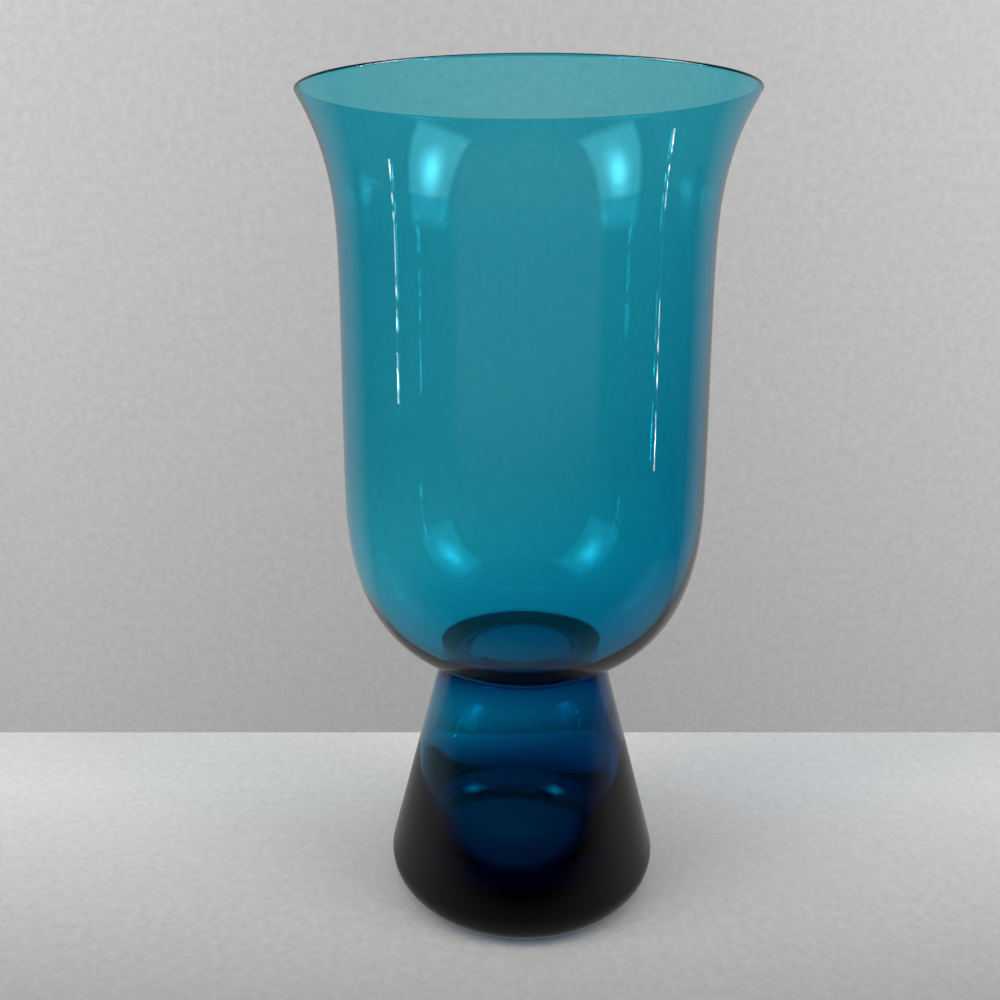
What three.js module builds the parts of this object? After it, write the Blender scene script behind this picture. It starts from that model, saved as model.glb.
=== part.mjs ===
// Hurricane vase in teal glass tinted right through: a flared bell bowl, blown thin with a heavier
// floor, fused onto a cone foot that is blown hollow with thicker walls.
// Millimetres, +Z up, origin in the middle of the ground face that the vase stands on.

import * as THREE from 'three';

// Bowl, outside
const HEIGHT = 254; // top of the lip above the ground base
const RIM_RADIUS = 64.8; // outermost point of the lip
const WAIST_RADIUS = 55.15; // where the straight wall starts to flare
const WAIST_HEIGHT = 208.3;
const BELLY_RADIUS = 56.3; // widest point above the rounded bottom
const BELLY_HEIGHT = 137.3;
const BOWL_BOTTOM_HEIGHT = 78; // underside of the bowl on its axis
const FLARE_ANGLE = THREE.MathUtils.degToRad(30); // lean of the wall at the lip, from upright
const FLARE_START = 14.6; // how long the flare follows the upright wall
const FLARE_END = 17.9; // how long it follows the lean of the lip
const BELLY_SWELL = 20; // how long the wall stays upright above the belly

// Bowl, inside
const LIP_ROUNDING = 0.6; // radius of the fire-polished lip
const WAIST_WALL = 1.45;
const BELLY_WALL = 1.55;
const BOWL_FLOOR = 3.4; // thickness of the bowl's floor on its axis
const DRIFT = 1; // how far the inside has sagged off the axis at the floor, to -X
const DRIFT_GROWTH = 1.8; // power at which the sag grows below the lip

// Foot, outside
const NECK_RADIUS = 26.7; // where the foot meets the bowl's underside
const BASE_CORNER_RADIUS = 48.1; // where the cone would meet the base plane, before rounding
const BASE_ROUNDING = 8;
const PONTIL_RADIUS = 14; // shallow polished dish in the middle of the base
const PONTIL_DEPTH = 1.2;

// Foot, inside
const MOUTH_RADIUS = 17; // mouth of the foot's bubble, closed by the bowl's underside
const MOUTH_SPREAD = 6; // how long the dome follows the mouth outwards
const MOUTH_DIP = 1.5; // how far it leans down on that way
const SHOULDER_HEIGHT = 60; // where the dome turns down into the bubble's side
const SHOULDER_WALL = 3.4; // glass between the bubble and the cone, measured level
const SHOULDER_LEAN = THREE.MathUtils.degToRad(14); // lean of the side there, from upright
const SHOULDER_RISE = 9; // how long the dome follows that lean above the shoulder
const SHOULDER_FALL = 11; // how long the side follows it below
const BUBBLE_HEIGHT = 33; // where the bubble is widest and its side stands upright
const BUBBLE_WALL = 5.7;
const BUBBLE_RISE = 9; // how long the side stays upright above its widest point
const BUBBLE_FALL = 16; // how long the heel stays upright below it
const HEEL_REACH = 12; // how long the heel follows the floor
const BUBBLE_FLOOR_RADIUS = 18; // level floor of the bubble
const BASE_THICKNESS = 7;
const BUBBLE_DRIFT = 1.5; // how far the bubble sits off the axis below its shoulder, to -X

const SEAT_GAP = 0.3; // clearance between the foot's seat and the bowl's underside

// Share of the width and of the depth that the ends of a rounding follow before it turns
const UNDERSIDE_FULLNESS = { width: 0.72, depth: 0.67 };
const FLOOR_FULLNESS = { width: 0.7, depth: 0.7 };
const PONTIL_FULLNESS = 0.55;

const SEGMENTS = 72; // facets around the axis

// Facets along each stretch of the outlines
const STEPS = {
  bottom: 14,
  wall: 4,
  flare: 9,
  lip: 6,
  pontil: 3,
  rounding: 6,
  seat: 4,
  dome: 8,
  side: 6,
  heel: 9,
};

const point = (radius, height) => new THREE.Vector2(radius, height);

function glass(name, color) {
  return new THREE.MeshStandardMaterial({
    name,
    color,
    roughness: 0.03,
    metalness: 0,
    transparent: true,
    opacity: 0.7,
  });
}

// Curve from start to end that leaves along the first handle and arrives from the second.
function bend(start, startHandle, endHandle, end) {
  return new THREE.CubicBezierCurve(start, start.clone().add(startHandle), end.clone().add(endHandle), end);
}

// Circle's arc, with the angles measured from the radial direction.
function arc(centre, radius, fromAngle, toAngle) {
  const clockwise = toAngle < fromAngle;
  return new THREE.EllipseCurve(centre.x, centre.y, radius, radius, fromAngle, toAngle, clockwise);
}

// One outline from several stretches, without the points that neighbours share.
function join(...stretches) {
  const outline = [];
  for (const next of stretches.flat()) {
    const last = outline.at(-1);
    if (!last || last.distanceTo(next) > 1e-6) outline.push(next);
  }
  return outline;
}

// Solid of revolution about Z, from an outline that closes on itself or on the axis. Its inside,
// from one point of the outline on, is moved off the axis to -X by the drift at each height.
function revolve(outline, firstInside, drift) {
  const geometry = new THREE.LatheGeometry(outline, SEGMENTS).rotateX(Math.PI / 2);
  const position = geometry.attributes.position;
  for (let i = 0; i < position.count; i += 1) {
    if (i % outline.length >= firstInside) {
      position.setX(i, position.getX(i) - drift(position.getZ(i)));
    }
  }
  return geometry;
}

// Rounded bottom of the bowl, from the axis out to the belly, where it stands upright.
function roundedBottom(radius, bottomHeight, fullness) {
  return bend(
    point(0, bottomHeight),
    point(radius * fullness.width, 0),
    point(0, (bottomHeight - BELLY_HEIGHT) * fullness.depth),
    point(radius, BELLY_HEIGHT),
  );
}

// Side of the bowl from the belly up to the lip, set in by the wall's thickness at each height.
function bowlSide(bellyWall, waistWall, lipPoint) {
  const belly = point(BELLY_RADIUS - bellyWall, BELLY_HEIGHT);
  const waist = point(WAIST_RADIUS - waistWall, WAIST_HEIGHT);
  const lean = point(Math.sin(FLARE_ANGLE), Math.cos(FLARE_ANGLE));
  const wall = bend(belly, point(0, BELLY_SWELL), point(0, -BELLY_SWELL), waist);
  const flare = bend(waist, point(0, FLARE_START), lean.multiplyScalar(-FLARE_END), lipPoint);
  return join(wall.getPoints(STEPS.wall), flare.getPoints(STEPS.flare));
}

// How far the bowl's inside has sagged off the axis at a height.
function bowlDrift(height) {
  const lipHeight = HEIGHT - LIP_ROUNDING;
  const floorHeight = BOWL_BOTTOM_HEIGHT + BOWL_FLOOR;
  const depthShare = Math.max(0, lipHeight - height) / (lipHeight - floorHeight);
  return DRIFT * depthShare ** DRIFT_GROWTH;
}

const underside = roundedBottom(BELLY_RADIUS, BOWL_BOTTOM_HEIGHT, UNDERSIDE_FULLNESS);

function makeBowl() {
  const lipCentre = point(RIM_RADIUS - LIP_ROUNDING, HEIGHT - LIP_ROUNDING);
  const lip = arc(lipCentre, LIP_ROUNDING, -FLARE_ANGLE, Math.PI - FLARE_ANGLE).getPoints(STEPS.lip);
  const floor = roundedBottom(
    BELLY_RADIUS - BELLY_WALL,
    BOWL_BOTTOM_HEIGHT + BOWL_FLOOR,
    FLOOR_FULLNESS,
  );

  const outside = join(underside.getPoints(STEPS.bottom), bowlSide(0, 0, lip.at(0)));
  const inside = join(floor.getPoints(STEPS.bottom), bowlSide(BELLY_WALL, WAIST_WALL, lip.at(-1)));
  const outline = join(outside, lip, inside.reverse());

  // The lip's last point is also the inside's first, and the sag starts below it.
  const firstInside = outline.length - inside.length + 1;
  const geometry = revolve(outline, firstInside, bowlDrift);
  return new THREE.Mesh(geometry, glass('bowl_glass', 0x1b8aa3));
}

// Share of the underside's curve at which it reaches a radius, found by halving.
function undersideShare(radius) {
  let low = 0;
  let high = 1;
  while (high - low > 1e-9) {
    const middle = (low + high) / 2;
    if (underside.getPoint(middle).x < radius) low = middle;
    else high = middle;
  }
  return low;
}

// Seat of the foot between two radii: the bowl's underside, moved down off it by the clearance.
function seat(outerRadius, innerRadius) {
  const outline = [];
  for (let i = 0; i <= STEPS.seat; i += 1) {
    const share = undersideShare(THREE.MathUtils.lerp(outerRadius, innerRadius, i / STEPS.seat));
    const tangent = underside.getTangent(share);
    outline.push(underside.getPoint(share).addScaledVector(point(tangent.y, -tangent.x), SEAT_GAP));
  }
  return outline;
}

// Rounding between the flat base and the cone, tangent to both.
function baseEdge(neck) {
  const coneAngle = Math.atan2(neck.y, neck.x - BASE_CORNER_RADIUS);
  const tangentLength = BASE_ROUNDING / Math.tan((Math.PI - coneAngle) / 2);
  const centre = point(BASE_CORNER_RADIUS - tangentLength, BASE_ROUNDING);
  return arc(centre, BASE_ROUNDING, -Math.PI / 2, coneAngle - Math.PI / 2);
}

// Inside of the foot from the mouth down to the middle of its floor.
function bubble(neck, mouth) {
  const coneRadius = (height) => THREE.MathUtils.mapLinear(height, neck.y, 0, neck.x, BASE_CORNER_RADIUS);
  const shoulder = point(coneRadius(SHOULDER_HEIGHT) - SHOULDER_WALL, SHOULDER_HEIGHT);
  const widest = point(coneRadius(BUBBLE_HEIGHT) - BUBBLE_WALL, BUBBLE_HEIGHT);
  const lean = point(Math.sin(SHOULDER_LEAN), -Math.cos(SHOULDER_LEAN));

  const dome = bend(
    mouth,
    point(MOUTH_SPREAD, -MOUTH_DIP),
    lean.clone().multiplyScalar(-SHOULDER_RISE),
    shoulder,
  );
  const side = bend(
    shoulder,
    lean.clone().multiplyScalar(SHOULDER_FALL),
    point(0, BUBBLE_RISE),
    widest,
  );
  const heel = bend(
    widest,
    point(0, -BUBBLE_FALL),
    point(HEEL_REACH, 0),
    point(BUBBLE_FLOOR_RADIUS, BASE_THICKNESS),
  );
  return join(
    dome.getPoints(STEPS.dome),
    side.getPoints(STEPS.side),
    heel.getPoints(STEPS.heel),
    point(0, BASE_THICKNESS),
  );
}

function makeFoot() {
  const seatPoints = seat(NECK_RADIUS, MOUTH_RADIUS);
  const neck = seatPoints.at(0);
  const mouth = seatPoints.at(-1);

  const pontil = bend(
    point(0, PONTIL_DEPTH),
    point(PONTIL_RADIUS * PONTIL_FULLNESS, 0),
    point(0, 0),
    point(PONTIL_RADIUS, 0),
  );
  const outside = join(
    pontil.getPoints(STEPS.pontil),
    baseEdge(neck).getPoints(STEPS.rounding),
    seatPoints,
  );
  const outline = join(outside, bubble(neck, mouth));

  // The bubble leaves its mouth on the axis and has drifted in full from the shoulder down.
  const bubbleDrift = (height) =>
    BUBBLE_DRIFT * Math.min(1, (mouth.y - height) / (mouth.y - SHOULDER_HEIGHT));
  const geometry = revolve(outline, outside.length, bubbleDrift);
  return new THREE.Mesh(geometry, glass('foot_glass', 0x0b4a66));
}

const vase = new THREE.Group();
const bowl = makeBowl();
bowl.name = 'bowl';
const foot = makeFoot();
foot.name = 'foot';
vase.add(bowl, foot);

export default vase;
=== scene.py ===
"""Looks of the hurricane vase: a bell bowl and a hollow foot of teal glass, on a pale table."""

import math

import bpy
import numpy as np
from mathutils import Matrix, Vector


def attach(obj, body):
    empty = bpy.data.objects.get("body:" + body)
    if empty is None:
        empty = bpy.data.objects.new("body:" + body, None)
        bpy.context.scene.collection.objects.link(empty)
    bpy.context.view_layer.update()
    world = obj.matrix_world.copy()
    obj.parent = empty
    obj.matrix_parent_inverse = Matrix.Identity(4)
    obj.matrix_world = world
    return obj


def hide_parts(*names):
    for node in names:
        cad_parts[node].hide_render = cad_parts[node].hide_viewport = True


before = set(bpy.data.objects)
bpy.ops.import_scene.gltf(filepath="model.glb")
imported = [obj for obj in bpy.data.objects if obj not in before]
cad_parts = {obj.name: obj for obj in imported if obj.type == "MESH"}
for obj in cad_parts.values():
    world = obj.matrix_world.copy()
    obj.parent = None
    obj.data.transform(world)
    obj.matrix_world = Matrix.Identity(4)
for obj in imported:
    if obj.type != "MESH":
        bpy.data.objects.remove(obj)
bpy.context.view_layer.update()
scene = bpy.context.scene

MM = 0.001

# Bowl, in millimetres
HEIGHT = 254
RIM_RADIUS = 64.8
WAIST_RADIUS = 55.15
WAIST_HEIGHT = 208.3
BELLY_RADIUS = 56.3
BELLY_HEIGHT = 137.3
BOWL_BOTTOM = 78
FLARE_ANGLE = math.radians(30)
FLARE_START = 14.6
FLARE_END = 17.9
BELLY_SWELL = 20
LIP_ROUNDING = 0.6
WAIST_WALL = 1.45
BELLY_WALL = 1.55
BOWL_FLOOR = 3.4
UNDERSIDE_FULLNESS = (0.72, 0.67)
FLOOR_FULLNESS = (0.7, 0.7)
DRIFT = 1
DRIFT_GROWTH = 1.8

# Foot, in millimetres
NECK_RADIUS = 26.7
NECK_FILLET = 1.5  # soft corner where the two gathers of glass fused
FILLET_FULLNESS = 0.6  # share of the fillet's length that its ends follow the cone and the seat
FUSE_DEPTH = 0.06  # how far the foot reaches into the bowl's glass, so that no air is between them
BASE_CORNER_RADIUS = 48.1
BASE_ROUNDING = 8
PONTIL_RADIUS = 14
PONTIL_DEPTH = 1.2
PONTIL_FULLNESS = 0.55  # share of the dish's radius that its middle stays level
MOUTH_RADIUS = 17
MOUTH_SPREAD = 6
MOUTH_DIP = 1.5
SHOULDER_HEIGHT = 60
SHOULDER_WALL = 3.4
SHOULDER_LEAN = math.radians(14)
SHOULDER_RISE = 9
SHOULDER_FALL = 11
BUBBLE_HEIGHT = 33
BUBBLE_WALL = 5.7
BUBBLE_RISE = 9
BUBBLE_FALL = 16
HEEL_REACH = 12
BUBBLE_FLOOR_RADIUS = 18
BASE_THICKNESS = 7
BUBBLE_DRIFT = 1.5

# Faces around the axis, and along each stretch of the outlines
AROUND = 288
STEPS = {
    "bottom": 48,
    "wall": 16,
    "flare": 28,
    "lip": 16,
    "pontil": 10,
    "edge": 20,
    "fillet": 10,
    "seat": 13,
    "dome": 24,
    "side": 20,
    "heel": 28,
    "floor": 6,
}
SEAT_SAMPLES = 2000  # points of the underside's curve between which the seat is read off

# Glass: red, green and blue shares
GLASS_COLOUR = (0.0, 0.8176, 0.8928, 1.0)
GLASS_DENSITY = 1250.0  # strength of the tint per metre
KEPT_AT_FACE = (0.94, 0.95, 0.95, 1.0)  # of a lamp's light that goes straight through

# Table and backdrop, in metres
FLOOR_Z = -0.0003  # a hair under the ground base, so that no two faces share a plane
TABLE_REACH = 1
WALL_Y = 0.085
WALL_REACH = 3
WALL_FOOT = -0.01

# Felt's colours as they are seen, mirrored, and seen through the glass: painted shade, painted
# reflections, a painted shadow and a painted pool of light among them
WALL_LOW_PAINTED_SHADE = (0.345, 0.345, 0.347)
WALL_HIGH = (0.52, 0.518, 0.52)
WALL_PAINTED_REFLECTION = (0.36, 0.36, 0.365)
BESIDE_WALL_PAINTED_REFLECTION = (0.03, 0.03, 0.034)
PAINTED_POOL_GAIN = 1.35  # how much brighter the painted pool of light low on the backdrop is, seen through the glass
TABLE_FRONT_PAINTED_SHADE = (0.282, 0.276, 0.271)
TABLE_BACK = (0.60, 0.57, 0.552)
TABLE_PAINTED_REFLECTION = (0.27, 0.268, 0.265)
BEFORE_TABLE_PAINTED_REFLECTION = (0.01, 0.01, 0.012)
UNDER_BASE_PAINTED_SHADOW = (0.17, 0.17, 0.17)
TABLE_THROUGH = (0.54, 0.54, 0.54)

# Brightness of the glowing cards that paint the glass's reflections and highlights, from faint to
# bright
FRONT_CARD_GLOW = (0.01, 0.26)
SIDE_CARD_GLOW = 3.2
SIDE_CARD_CORE = 14.0
STRIP_GLOW = (0.5, 45.0)

# World: fill on the matt surfaces, and its colours mirrored and seen
FILL_COLOUR = (0.62, 0.61, 0.6, 1)
FILL_STRENGTH = 0.35
ROOM_MIRRORED = (0.03, 0.03, 0.034, 1)
ROOM_SEEN = (0.5, 0.505, 0.51, 1)

# Lamps and cards: places and sizes in metres, power in watts
FRONT_CARD_PLACE = (0, -0.33, 0.2)
FRONT_CARD_SIZE = (0.8, 0.4)
OVERHEAD_PLACE = (0, -0.15, 1.1)
OVERHEAD_TARGET = (0, 0, 0.1)
OVERHEAD_SIZE = (0.9, 0.6)
OVERHEAD_WATTS = 5
SIDE_LAMP_X = 0.75
SIDE_LAMP_Y = -0.30
SIDE_LAMP_Z = 0.67
SIDE_LAMP_TARGET = (0, -0.1, 0.2)
SIDE_LAMP_SIZE = (0.56, 0.98)
SIDE_LAMP_WATTS = 9
STRIP_X = 0.7
STRIP_Y = -0.13
STRIP_WIDTH = 0.008
STRIP_TOP = 0.31
STRIP_FEET = {"left": 0.07, "right": 0.0}

# Camera, found from the photograph, in metres
CAMERA_PLACE = (-0.0077, -0.2836, 0.2180)
CAMERA_DIP = math.radians(16.52)  # how far it looks down from the level
CAMERA_LENS = 33.26  # millimetres, on a sensor of this width
SENSOR_WIDTH = 36

GLASS_BOUNCES = 24
MIRROR_BOUNCES = 12


# Outlines: arrays of (radius, height) in millimetres


def bend(start, start_handle, end_handle, end, steps):
    """Cubic curve from start to end. It leaves along the first handle and arrives from the
    second: (1-t)^3 a + 3 (1-t)^2 t (a+u) + 3 (1-t) t^2 (b+v) + t^3 b, with t from 0 to 1."""
    a, u, v, b = (np.asarray(value, float) for value in (start, start_handle, end_handle, end))
    t = np.linspace(0, 1, steps + 1)[:, None]
    s = 1 - t
    return s**3 * a + 3 * s**2 * t * (a + u) + 3 * s * t**2 * (b + v) + t**3 * b


def arc(centre, radius, start_angle, end_angle, steps):
    """Circle's arc: centre + radius (cos, sin), the angle running evenly from start to end."""
    angle = np.linspace(start_angle, end_angle, steps + 1)
    return np.stack([centre[0] + radius * np.cos(angle), centre[1] + radius * np.sin(angle)], 1)


def join(*stretches):
    """One outline from several, without the points that neighbours share."""
    outline = np.concatenate(stretches)
    gap = np.hypot(*np.diff(outline, axis=0).T)
    return outline[np.concatenate([[True], gap > 1e-6])]


def rounded_bottom(radius, bottom, fullness, steps=STEPS["bottom"]):
    """Curve from the axis at the bottom's height out to the upright belly. Each end follows
    its own direction for the fullness's share of the radius and of the depth."""
    return bend(
        (0, bottom),
        (radius * fullness[0], 0),
        (0, (bottom - BELLY_HEIGHT) * fullness[1]),
        (radius, BELLY_HEIGHT),
        steps,
    )


def bowl_side(belly_wall, waist_wall, lip_point):
    """Side of the bowl from the belly over the waist to the lip, set in by the wall."""
    belly = (BELLY_RADIUS - belly_wall, BELLY_HEIGHT)
    waist = (WAIST_RADIUS - waist_wall, WAIST_HEIGHT)
    back_down = (-math.sin(FLARE_ANGLE) * FLARE_END, -math.cos(FLARE_ANGLE) * FLARE_END)
    wall = bend(belly, (0, BELLY_SWELL), (0, -BELLY_SWELL), waist, STEPS["wall"])
    flare = bend(waist, (0, FLARE_START), back_down, lip_point, STEPS["flare"])
    return join(wall, flare)


def bowl_drift(height):
    """Sag of the bowl's inside to -X: full at the floor, none at the lip, growing with the
    depth under the lip to a power."""
    lip, floor = HEIGHT - LIP_ROUNDING, BOWL_BOTTOM + BOWL_FLOOR
    return DRIFT * (np.maximum(0, lip - height) / (lip - floor)) ** DRIFT_GROWTH


def bowl_outline():
    """Underside, side, lip and inside of the bowl, from axis to axis, with its sag."""
    lip_centre = (RIM_RADIUS - LIP_ROUNDING, HEIGHT - LIP_ROUNDING)
    lip = arc(lip_centre, LIP_ROUNDING, -FLARE_ANGLE, math.pi - FLARE_ANGLE, STEPS["lip"])
    under = rounded_bottom(BELLY_RADIUS, BOWL_BOTTOM, UNDERSIDE_FULLNESS)
    floor = rounded_bottom(BELLY_RADIUS - BELLY_WALL, BOWL_BOTTOM + BOWL_FLOOR, FLOOR_FULLNESS)
    outside = join(under, bowl_side(0, 0, lip[0]), lip)
    inside = join(floor, bowl_side(BELLY_WALL, WAIST_WALL, lip[-1]))[::-1]
    outline = join(outside, inside)
    drift = np.zeros(len(outline))
    drift[len(outside):] = bowl_drift(outline[len(outside):, 1])
    return outline, drift


def fused_seat(radius):
    """Points of the bowl's underside at the given radii, moved up into its glass by the fuse
    depth, square to the curve."""
    under = rounded_bottom(BELLY_RADIUS, BOWL_BOTTOM, UNDERSIDE_FULLNESS, SEAT_SAMPLES)
    slope = np.gradient(under[:, 1]) / np.gradient(under[:, 0])
    lean = np.arctan(np.interp(radius, under[:, 0], slope))
    height = np.interp(radius, under[:, 0], under[:, 1])
    return np.stack(
        [radius - FUSE_DEPTH * np.sin(lean), height + FUSE_DEPTH * np.cos(lean)], -1
    )


def cone_radius(neck, height):
    """Radius of the foot's cone at a height: even from the neck to the corner of the base."""
    return neck[0] + (BASE_CORNER_RADIUS - neck[0]) * (neck[1] - height) / neck[1]


def bubble_outline(neck, mouth):
    """Inside of the foot: dome, side and heel of the bubble, down to the middle of its floor."""
    shoulder = (cone_radius(neck, SHOULDER_HEIGHT) - SHOULDER_WALL, SHOULDER_HEIGHT)
    widest = (cone_radius(neck, BUBBLE_HEIGHT) - BUBBLE_WALL, BUBBLE_HEIGHT)
    lean = np.array([math.sin(SHOULDER_LEAN), -math.cos(SHOULDER_LEAN)])
    floor_edge = (BUBBLE_FLOOR_RADIUS, BASE_THICKNESS)
    mouth_lean = (MOUTH_SPREAD, -MOUTH_DIP)
    dome = bend(mouth, mouth_lean, -lean * SHOULDER_RISE, shoulder, STEPS["dome"])
    side = bend(shoulder, lean * SHOULDER_FALL, (0, BUBBLE_RISE), widest, STEPS["side"])
    heel = bend(widest, (0, -BUBBLE_FALL), (HEEL_REACH, 0), floor_edge, STEPS["heel"])
    floor = np.linspace(floor_edge, (0, BASE_THICKNESS), STEPS["floor"] + 1)
    return join(dome, side, heel, floor)


def foot_outline():
    """Pontil dish, ground base, rounded edge, cone, fused seat and bubble, from axis to axis,
    with the bubble's drift: none at its mouth, full from its shoulder down."""
    neck = fused_seat(np.array(NECK_RADIUS))
    down_cone = np.array([BASE_CORNER_RADIUS, 0]) - neck
    down_cone /= np.hypot(*down_cone)
    seat_radii = np.linspace(NECK_RADIUS + NECK_FILLET, MOUTH_RADIUS, STEPS["seat"] + 1)
    seat = fused_seat(seat_radii)
    cone_top = neck + down_cone * NECK_FILLET
    fillet = bend(
        cone_top,
        (neck - cone_top) * FILLET_FULLNESS,
        (neck - seat[0]) * FILLET_FULLNESS,
        seat[0],
        STEPS["fillet"],
    )
    cone_angle = math.atan2(neck[1], neck[0] - BASE_CORNER_RADIUS)
    tangent = BASE_ROUNDING / math.tan((math.pi - cone_angle) / 2)
    edge_centre = (BASE_CORNER_RADIUS - tangent, BASE_ROUNDING)
    down = -math.pi / 2
    edge = arc(edge_centre, BASE_ROUNDING, down, cone_angle + down, STEPS["edge"])
    level = (PONTIL_RADIUS * PONTIL_FULLNESS, 0)
    pontil = bend((0, PONTIL_DEPTH), level, (0, 0), (PONTIL_RADIUS, 0), STEPS["pontil"])
    outside = join(pontil, edge, fillet, seat)
    outline = join(outside, bubble_outline(neck, seat[-1]))
    drift = np.zeros(len(outline))
    fall = seat[-1, 1] - outline[len(outside):, 1]
    drift[len(outside):] = BUBBLE_DRIFT * np.minimum(1, fall / (seat[-1, 1] - SHOULDER_HEIGHT))
    return outline, drift


# Meshes


SHARP_ANGLE = math.radians(35)  # between two faces, past which their edge stays crisp


def revolve(name, outline, drift):
    """Closed solid of revolution about Z. Each point of the outline becomes a ring of AROUND
    points, (radius cos a - drift, radius sin a, height), and the first and the last point,
    on the axis, become poles."""
    radius, height, shift = outline[:, 0] * MM, outline[:, 1] * MM, -drift * MM
    angle = np.arange(AROUND) * 2 * math.pi / AROUND
    x = radius[1:-1, None] * np.cos(angle) + shift[1:-1, None]
    y = radius[1:-1, None] * np.sin(angle)
    z = np.broadcast_to(height[1:-1, None], x.shape)
    rings = np.stack([x, y, z], 2).reshape(-1, 3)
    poles = np.stack([shift[[0, -1]], [0, 0], height[[0, -1]]], 1)

    first = (np.arange(len(outline) - 3) * AROUND)[:, None]
    here = np.arange(AROUND)
    after = np.roll(here, -1)
    above = first + AROUND
    sides = np.stack([first + here, first + after, above + after, above + here], 2)
    low_pole, last_ring = len(rings), len(rings) - AROUND
    low_fan = np.stack([np.full(AROUND, low_pole), after, here], 1)
    high_fan = np.stack([np.full(AROUND, low_pole + 1), last_ring + here, last_ring + after], 1)

    mesh = bpy.data.meshes.new(name)
    mesh.from_pydata(
        np.concatenate([rings, poles]).tolist(),
        [],
        sides.reshape(-1, 4).tolist() + low_fan.tolist() + high_fan.tolist(),
    )
    mesh.shade_smooth()
    mesh.set_sharp_from_angle(angle=SHARP_ANGLE)
    piece = bpy.data.objects.new(name, mesh)
    scene.collection.objects.link(piece)
    return piece


# Materials


def node(tree, kind, **values):
    """New node with the given values on its inputs, by name."""
    made = tree.nodes.new(kind)
    for key, value in values.items():
        made.inputs[key.replace("_", " ")].default_value = value
    return made


def hand_blown_surface():
    """Group for the face of hand-blown glass: long faint ripples from the blowing, as a
    normal, and fine wipe marks, as a trace of roughness."""
    group = bpy.data.node_groups.new("hand_blown_surface", "ShaderNodeTree")
    group.interface.new_socket("Normal", in_out="OUTPUT", socket_type="NodeSocketVector")
    group.interface.new_socket("Roughness", in_out="OUTPUT", socket_type="NodeSocketFloat")
    place = node(group, "ShaderNodeTexCoord")
    stretch = node(group, "ShaderNodeMapping", Scale=(1.0, 1.0, 0.35))
    ripples = node(group, "ShaderNodeTexNoise", Scale=26.0, Detail=1.0, Roughness=0.4)
    marks = node(group, "ShaderNodeTexNoise", Scale=420.0, Detail=3.0, Roughness=0.6)
    wave = node(group, "ShaderNodeBump", Strength=0.1, Distance=0.0025)
    out = node(group, "NodeGroupOutput")
    link = group.links.new
    link(place.outputs["Object"], stretch.inputs["Vector"])
    link(stretch.outputs["Vector"], ripples.inputs["Vector"])
    link(place.outputs["Object"], marks.inputs["Vector"])
    link(ripples.outputs["Fac"], wave.inputs["Height"])
    link(wave.outputs["Normal"], out.inputs["Normal"])
    link(ramp(group, marks.outputs["Fac"], 0.45, 0.75, 0.0, 0.01), out.inputs["Roughness"])
    return group


def tinted_glass(name, surface):
    """Clear glass tinted right through: the volume takes the light along its path by
    exp(-density (1 - colour) path), so a thin wall is pale teal and a thick one near black.
    A lamp's light passes straight through, a little weaker at each face."""
    material = bpy.data.materials.new(name)
    material.use_nodes = True
    tree = material.node_tree
    tree.nodes.clear()
    out = node(tree, "ShaderNodeOutputMaterial")
    face = node(
        tree,
        "ShaderNodeBsdfPrincipled",
        Base_Color=(1.0, 1.0, 1.0, 1.0),
        Metallic=0.0,
        IOR=1.5,
        Transmission_Weight=1.0,
    )
    blown = node(tree, "ShaderNodeGroup")
    blown.node_tree = surface
    tint = node(tree, "ShaderNodeVolumeAbsorption", Color=GLASS_COLOUR, Density=GLASS_DENSITY)
    path = node(tree, "ShaderNodeLightPath")
    passing = node(tree, "ShaderNodeBsdfTransparent", Color=KEPT_AT_FACE)
    either = node(tree, "ShaderNodeMixShader")
    link = tree.links.new
    link(blown.outputs["Normal"], face.inputs["Normal"])
    link(blown.outputs["Roughness"], face.inputs["Roughness"])
    link(path.outputs["Is Shadow Ray"], either.inputs["Fac"])
    link(face.outputs["BSDF"], either.inputs[1])
    link(passing.outputs["BSDF"], either.inputs[2])
    link(either.outputs["Shader"], out.inputs["Surface"])
    link(tint.outputs["Volume"], out.inputs["Volume"])
    return material


def ramp(tree, value, start, end, low=0.0, high=1.0):
    """Even change from low to high while the value goes from start to end, held outside."""
    change = node(tree, "ShaderNodeMapRange")
    for key, number in (("From Min", start), ("From Max", end), ("To Min", low), ("To Max", high)):
        change.inputs[key].default_value = number
    tree.links.new(value, change.inputs["Value"])
    return change.outputs["Result"]


def operate(tree, kind, first, second=None):
    """One arithmetic step on one or two values."""
    step = node(tree, "ShaderNodeMath")
    step.operation = kind
    for socket, value in zip(step.inputs, (first, second)):
        if value is not None:
            tree.links.new(value, socket)
    return step.outputs["Value"]


def between(tree, factor, first, second):
    """Colour from the first where the factor is 0 to the second where it is 1."""
    mix = node(tree, "ShaderNodeMix")
    mix.data_type = "RGBA"
    mix.inputs["A"].default_value = (*first, 1)
    mix.inputs["B"].default_value = (*second, 1)
    tree.links.new(factor, mix.inputs["Factor"])
    return mix.outputs["Result"]


def place_parts(tree):
    """X, Y and Z of the point that is shaded, in its object's own metres."""
    place = node(tree, "ShaderNodeTexCoord")
    split = node(tree, "ShaderNodeSeparateXYZ")
    tree.links.new(place.outputs["Object"], split.inputs["Vector"])
    return split.outputs["X"], split.outputs["Y"], split.outputs["Z"]


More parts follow.
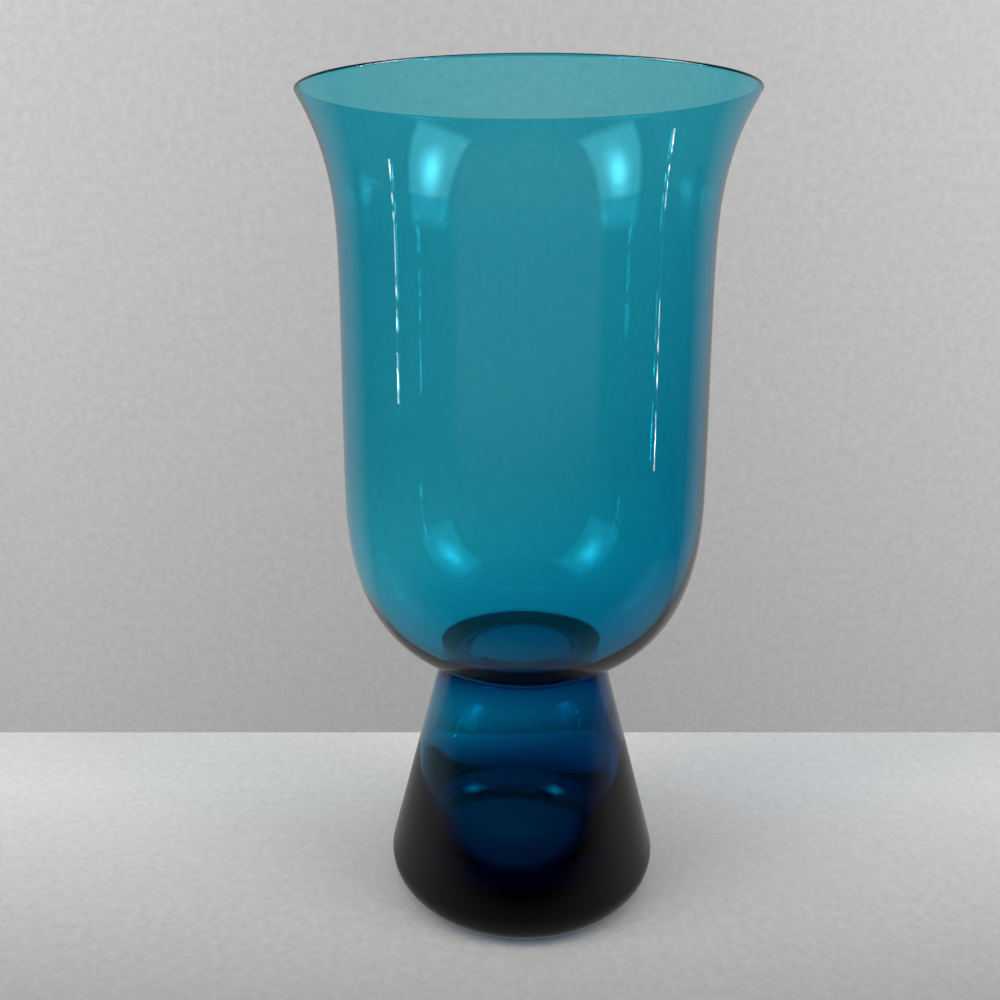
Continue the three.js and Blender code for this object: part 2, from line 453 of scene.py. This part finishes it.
def felt_with_painted_light_and_shade(tree, along, start, end, low, high, side_gain):
    """Pale felt with painted light and shade: a colour that changes evenly along Y or Z, its low
    end a painted shade, and a side gain towards the sides, painted light above 1 and painted shade
    below 1, with a faint grain."""
    x, y, z = place_parts(tree)
    base = between(tree, ramp(tree, {"Y": y, "Z": z}[along], start, end), low, high)
    sides = ramp(tree, operate(tree, "ABSOLUTE", x), 0.05, 0.2, 1.0, side_gain)
    place = node(tree, "ShaderNodeTexCoord")
    grain = node(tree, "ShaderNodeTexNoise", Scale=330.0, Detail=4.0, Roughness=0.65)
    tree.links.new(place.outputs["Object"], grain.inputs["Vector"])
    shade = ramp(tree, grain.outputs["Fac"], 0.3, 0.7, 0.93, 1.07)
    return scaled(tree, base, operate(tree, "MULTIPLY", shade, sides))


def seen_directly(tree, *rays):
    """1 for the named kinds of ray and 0 for the others."""
    path = node(tree, "ShaderNodeLightPath")
    total = path.outputs[rays[0]]
    for ray in rays[1:]:
        total = operate(tree, "MAXIMUM", total, path.outputs[ray])
    return total


def scaled(tree, colour, gain):
    """Colour times a value."""
    product = node(tree, "ShaderNodeVectorMath")
    product.operation = "SCALE"
    tree.links.new(colour, product.inputs[0])
    tree.links.new(gain, product.inputs["Scale"])
    return product.outputs["Vector"]


def length_of(tree, vector):
    """Length of a vector."""
    length = node(tree, "ShaderNodeVectorMath")
    length.operation = "LENGTH"
    tree.links.new(vector, length.inputs[0])
    return length.outputs["Value"]


def mixed(tree, factor, first, second):
    """Mix of two shaders: the first where the factor is 0, the second where it is 1."""
    mix = node(tree, "ShaderNodeMixShader")
    tree.links.new(factor, mix.inputs["Fac"])
    tree.links.new(first, mix.inputs[1])
    tree.links.new(second, mix.inputs[2])
    return mix.outputs["Shader"]


def matt(tree, colour):
    """Matt shader of one colour socket."""
    shader = node(tree, "ShaderNodeBsdfPrincipled", Roughness=1.0, Specular_IOR_Level=0.0)
    tree.links.new(colour, shader.inputs["Base Color"])
    return shader.outputs["BSDF"]


def glow(tree, colour):
    """Light of one colour socket."""
    shader = node(tree, "ShaderNodeEmission")
    tree.links.new(colour, shader.inputs["Color"])
    return shader.outputs["Emission"]


def stage_material(name, build):
    """Material of a stage piece, from a function that returns its shader. Its glow isn't a
    lamp."""
    material = bpy.data.materials.new(name)
    material.use_nodes = True
    material.cycles.emission_sampling = "NONE"
    tree = material.node_tree
    tree.nodes.clear()
    out = node(tree, "ShaderNodeOutputMaterial")
    tree.links.new(build(tree), out.inputs["Surface"])
    return material


def backdrop_felt(tree):
    """Felt hung behind the table. To the eye and through the glass it glows with its colour,
    painted shade and light included, and through the glass a painted pool of light lies low on it.
    In reflections it is a painted reflection, a set glow that is darker off to the sides, and its
    back lets the other views through."""
    # painted shade and light: the felt is darker low down, towards the table, and brighter towards
    # the sides
    colour = felt_with_painted_light_and_shade(tree, "Z", 0.0, 0.31, WALL_LOW_PAINTED_SHADE, WALL_HIGH, 1.2)
    x, _, z = place_parts(tree)
    # painted reflection: in reflections the felt is a set glow, darker off to the sides
    aside = ramp(tree, operate(tree, "ABSOLUTE", x), 0.18, 0.32)
    reflected = glow(tree, between(tree, aside, WALL_PAINTED_REFLECTION, BESIDE_WALL_PAINTED_REFLECTION))
    # painted pool of light: through the glass the felt glows brighter low down
    pool = operate(tree, "MULTIPLY", ramp(tree, z, 0.005, 0.03), ramp(tree, z, 0.12, 0.07))
    through = glow(tree, scaled(tree, colour, ramp(tree, pool, 0, 1, 1, PAINTED_POOL_GAIN)))

    front = mixed(tree, seen_directly(tree, "Is Glossy Ray"), matt(tree, colour), reflected)
    front = mixed(tree, seen_directly(tree, "Is Camera Ray"), front, glow(tree, colour))
    front = mixed(tree, seen_directly(tree, "Is Transmission Ray"), front, through)
    facing = node(tree, "ShaderNodeNewGeometry")
    clear = node(tree, "ShaderNodeBsdfTransparent")
    return mixed(tree, facing.outputs["Backfacing"], front, clear.outputs["BSDF"])


def table_felt(tree):
    """Pale felt on the table, lit by the lamps and a little darker towards the front by painted
    shade. Through the glass it is a set glow, a third as bright under the vase by a painted
    shadow. In reflections it is a painted reflection, dim beside the vase and dark before it."""
    # painted shade: the felt is darker towards the front and towards the sides
    colour = felt_with_painted_light_and_shade(tree, "Y", -0.07, 0.045, TABLE_FRONT_PAINTED_SHADE, TABLE_BACK, 0.94)
    x, y, _ = place_parts(tree)
    # painted reflection: in reflections the felt is a set glow, dim beside the vase and dark
    # before it
    inside = ramp(tree, operate(tree, "ABSOLUTE", x), 0.35, 0.15)
    near = operate(tree, "MULTIPLY", ramp(tree, y, -0.12, -0.03), inside)
    reflected = glow(tree, between(tree, near, BEFORE_TABLE_PAINTED_REFLECTION, TABLE_PAINTED_REFLECTION))
    # painted shadow: through the glass the felt is a set glow, a third as bright under the vase
    place = node(tree, "ShaderNodeTexCoord")
    clear_of_painted_shadow = ramp(tree, length_of(tree, place.outputs["Object"]), 0.034, 0.06)
    through = glow(tree, between(tree, clear_of_painted_shadow, UNDER_BASE_PAINTED_SHADOW, TABLE_THROUGH))

    shown = mixed(tree, seen_directly(tree, "Is Glossy Ray"), matt(tree, colour), reflected)
    return mixed(tree, seen_directly(tree, "Is Transmission Ray"), shown, through)


def card_shader(tree, shown, brightness):
    """Shader of a card that only some rays see: a white glow of the given brightness, and
    clear to all others."""
    white = node(tree, "ShaderNodeEmission")
    tree.links.new(brightness, white.inputs["Strength"])
    clear = node(tree, "ShaderNodeBsdfTransparent")
    return mixed(tree, shown, clear.outputs["BSDF"], white.outputs["Emission"])


def card_place(tree):
    """Place on a card, from -1 to 1 across and up, out of its UV map."""
    place = node(tree, "ShaderNodeUVMap")
    spread = node(tree, "ShaderNodeMapping", Location=(-1, -1, 0), Scale=(2, 2, 1))
    tree.links.new(place.outputs["UV"], spread.inputs["Vector"])
    split = node(tree, "ShaderNodeSeparateXYZ")
    tree.links.new(spread.outputs["Vector"], split.inputs["Vector"])
    return split.outputs["X"], split.outputs["Y"]


def mirrored(tree):
    """1 for a ray that some face of the glass has reflected."""
    path = node(tree, "ShaderNodeLightPath")
    return ramp(tree, path.outputs["Glossy Depth"], 0.4, 0.6)


def grey_reflection_card(tree):
    """Dim glowing card that only the outside of the glass reflects: a painted reflection, which
    lights nothing. It fades out towards its sides and its lower edge."""
    across, up = card_place(tree)
    inside = ramp(tree, operate(tree, "ABSOLUTE", across), 0.75, 0.6)
    share = operate(tree, "MULTIPLY", ramp(tree, up, -0.7, -0.3), inside)
    through = seen_directly(tree, "Is Transmission Ray")
    outside = operate(tree, "SUBTRACT", seen_directly(tree, "Is Glossy Ray"), through)
    return card_shader(tree, outside, ramp(tree, share, 0, 1, *FRONT_CARD_GLOW))


def side_highlight_card(tree):
    """Glowing card in the side lamp's place that only reflections see: a painted highlight, even,
    with soft edges and a bright middle.
    """
    across, up = card_place(tree)
    edge = operate(
        tree, "MAXIMUM", operate(tree, "ABSOLUTE", across), operate(tree, "ABSOLUTE", up)
    )
    even = ramp(tree, edge, 1.0, 0.8, 0.0, SIDE_CARD_GLOW)
    middle = node(tree, "ShaderNodeCombineXYZ")
    tree.links.new(across, middle.inputs["X"])
    tree.links.new(up, middle.inputs["Y"])
    core = ramp(tree, length_of(tree, middle.outputs["Vector"]), 0.75, 0.1)
    bright = ramp(tree, operate(tree, "MULTIPLY", core, core), 0, 1, 0.0, SIDE_CARD_CORE)
    return card_shader(tree, mirrored(tree), operate(tree, "ADD", even, bright))


def spark_highlight_strip(tree):
    """Narrow glowing strip, no lamp, that only reflections see: painted highlights that a noise
    breaks into streaks, as of small bulbs.
    """
    _, up = card_place(tree)
    row = node(tree, "ShaderNodeCombineXYZ")
    tree.links.new(up, row.inputs["X"])
    bulbs = node(tree, "ShaderNodeTexNoise", Scale=3.0, Detail=2.0, Roughness=0.6)
    tree.links.new(row.outputs["Vector"], bulbs.inputs["Vector"])
    brightness = ramp(tree, bulbs.outputs["Fac"], 0.47, 0.6, *STRIP_GLOW)
    return card_shader(tree, mirrored(tree), brightness)


def sheet_of(name, corners, material):
    """Flat stage piece from four corners, which isn't part of the vase."""
    mesh = bpy.data.meshes.new(name)
    mesh.from_pydata(corners, [], [(0, 1, 2, 3)])
    mesh.uv_layers.new(name="place").data.foreach_set("uv", (0, 0, 1, 0, 1, 1, 0, 1))
    mesh.materials.append(material)
    piece = bpy.data.objects.new(name, mesh)
    scene.collection.objects.link(piece)
    return piece


def card(name, place, target, size, build):
    """Upright stage card around a place, turned to its target. The size is its width and
    height."""
    width, height = size
    middle = np.array(place, float)
    facing = np.array(target, float) - middle
    right = np.cross(facing, (0, 0, 1))
    right *= width / 2 / np.linalg.norm(right)
    up = np.cross(right, facing)
    up *= height / 2 / np.linalg.norm(up)
    corners = (middle - right - up, middle + right - up, middle + right + up, middle - right + up)
    return sheet_of(name, [tuple(corner) for corner in corners], stage_material(name, build))


def lamp(name, place, target, size, watts):
    """Soft rectangular lamp that points at a target. It lights the matt surfaces alone: the
    glass reflects the cards."""
    light = bpy.data.lights.new(name, "AREA")
    light.shape = "RECTANGLE"
    light.size, light.size_y = size
    light.energy = watts
    piece = bpy.data.objects.new(name, light)
    piece.visible_glossy = piece.visible_transmission = False
    piece.location = place
    aim = Vector(target) - Vector(place)
    piece.rotation_euler = aim.to_track_quat("-Z", "Y").to_euler()
    scene.collection.objects.link(piece)
    return piece


def room():
    """World around the vase: pale to the eye and through the glass, dim in reflections, and
    a weak fill for the matt surfaces."""
    world = bpy.data.worlds.new("room")
    scene.world = world
    world.use_nodes = True
    tree = world.node_tree
    tree.nodes.clear()
    fill = node(tree, "ShaderNodeBackground", Color=FILL_COLOUR, Strength=FILL_STRENGTH)
    dim = node(tree, "ShaderNodeBackground", Color=ROOM_MIRRORED)
    pale = node(tree, "ShaderNodeBackground", Color=ROOM_SEEN)
    glossy = seen_directly(tree, "Is Glossy Ray")
    hidden = mixed(tree, glossy, fill.outputs[0], dim.outputs[0])
    shown = seen_directly(tree, "Is Camera Ray", "Is Transmission Ray")
    out = node(tree, "ShaderNodeOutputWorld")
    tree.links.new(mixed(tree, shown, hidden, pale.outputs[0]), out.inputs["Surface"])


def camera():
    """Camera at the photograph's place and angle."""
    data = bpy.data.cameras.new("photograph")
    data.lens = CAMERA_LENS
    data.sensor_width = SENSOR_WIDTH
    piece = bpy.data.objects.new("photograph", data)
    piece.location = CAMERA_PLACE
    piece.rotation_euler = (math.pi / 2 - CAMERA_DIP, 0, 0)
    scene.collection.objects.link(piece)
    scene.camera = piece


# Vase
surface = hand_blown_surface()
for name, node_name, slot, (outline, drift) in (
    ("bell_bowl", "bowl", "bowl_glass", bowl_outline()),
    ("cone_foot", "foot", "foot_glass", foot_outline()),
):
    piece = revolve(name, outline, drift)
    piece.data.materials.append(tinted_glass(name + "_glass", surface))
    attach(piece, "root")
    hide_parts(node_name)

# Table, backdrop, lamps and cards
camera()
room()
table_corners = [
    (-TABLE_REACH, -TABLE_REACH, FLOOR_Z),
    (TABLE_REACH, -TABLE_REACH, FLOOR_Z),
    (TABLE_REACH, TABLE_REACH, FLOOR_Z),
    (-TABLE_REACH, TABLE_REACH, FLOOR_Z),
]
wall_corners = [
    (-WALL_REACH, WALL_Y, WALL_FOOT),
    (WALL_REACH, WALL_Y, WALL_FOOT),
    (WALL_REACH, WALL_Y, WALL_REACH),
    (-WALL_REACH, WALL_Y, WALL_REACH),
]
sheet_of("table", table_corners, stage_material("table_felt", table_felt))
sheet_of("backdrop", wall_corners, stage_material("backdrop_felt", backdrop_felt))
# painted reflection: a dim glowing card before the vase, seen only in the glass's outside
# reflections
card("front_card", FRONT_CARD_PLACE, (0, 0, FRONT_CARD_PLACE[2]), FRONT_CARD_SIZE, grey_reflection_card)
lamp("overhead", OVERHEAD_PLACE, OVERHEAD_TARGET, OVERHEAD_SIZE, OVERHEAD_WATTS)
for label, side in (("left", -1), ("right", 1)):
    place = (side * SIDE_LAMP_X, SIDE_LAMP_Y, SIDE_LAMP_Z)
    lamp(label + "_lamp", place, SIDE_LAMP_TARGET, SIDE_LAMP_SIZE, SIDE_LAMP_WATTS)
    # painted highlight: a glowing card in the lamp's place, seen only in reflections
    card(label + "_card", place, SIDE_LAMP_TARGET, SIDE_LAMP_SIZE, side_highlight_card)
    strip_height = STRIP_TOP - STRIP_FEET[label]
    middle = STRIP_FEET[label] + strip_height / 2
    strip_place = (side * STRIP_X, STRIP_Y, middle)
    # painted highlights: a glowing strip, seen only in reflections as broken streaks
    card(label + "_strip", strip_place, (0, 0, middle), (STRIP_WIDTH, strip_height), spark_highlight_strip)

scene.view_settings.view_transform = "Standard"
scene.cycles.max_bounces = GLASS_BOUNCES
scene.cycles.transmission_bounces = GLASS_BOUNCES
scene.cycles.glossy_bounces = MIRROR_BOUNCES
